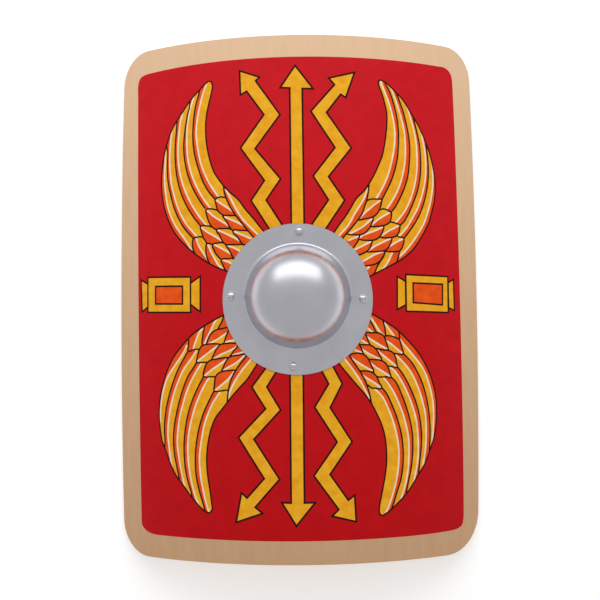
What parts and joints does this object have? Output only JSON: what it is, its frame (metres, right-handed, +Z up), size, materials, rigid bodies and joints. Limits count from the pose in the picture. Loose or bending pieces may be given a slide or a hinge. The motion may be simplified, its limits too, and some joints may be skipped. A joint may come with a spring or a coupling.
{
  "type": "roman scutum shield",
  "caption": "Curved rectangular wooden shield with rounded corners, a bolted round steel boss with a hollow dome, a hand hole and a wooden grip behind it.",
  "frame": {"origin": "on the ground under the middle of the board, with the shield lying face up on its two long edges", "axes": "+Y along the long axis towards the shield's top, +X across to its right-hand side seen from the face, +Z up out of the face, along the boss"},
  "size_m": [0.5, 0.7, 0.1339],
  "materials": {
    "board": "plywood with a painted face: tan border, red field, yellow and orange wings and thunderbolts; varnished bare wood behind",
    "boss_steel": "satin-polished spun steel",
    "grip_wood": "oiled ash",
    "zinc_steel": "bright zinc plate"
  },
  "bodies": {
    "root": {"board": "board", "boss": "boss_steel", "grip": "grip_wood", "bolt_top": "zinc_steel", "bolt_right": "zinc_steel", "bolt_bottom": "zinc_steel", "bolt_left": "zinc_steel", "washer_top": "zinc_steel", "washer_right": "zinc_steel", "washer_bottom": "zinc_steel", "washer_left": "zinc_steel", "nut_top": "zinc_steel", "nut_right": "zinc_steel", "nut_bottom": "zinc_steel", "nut_left": "zinc_steel"}
  },
  "joints": []
}
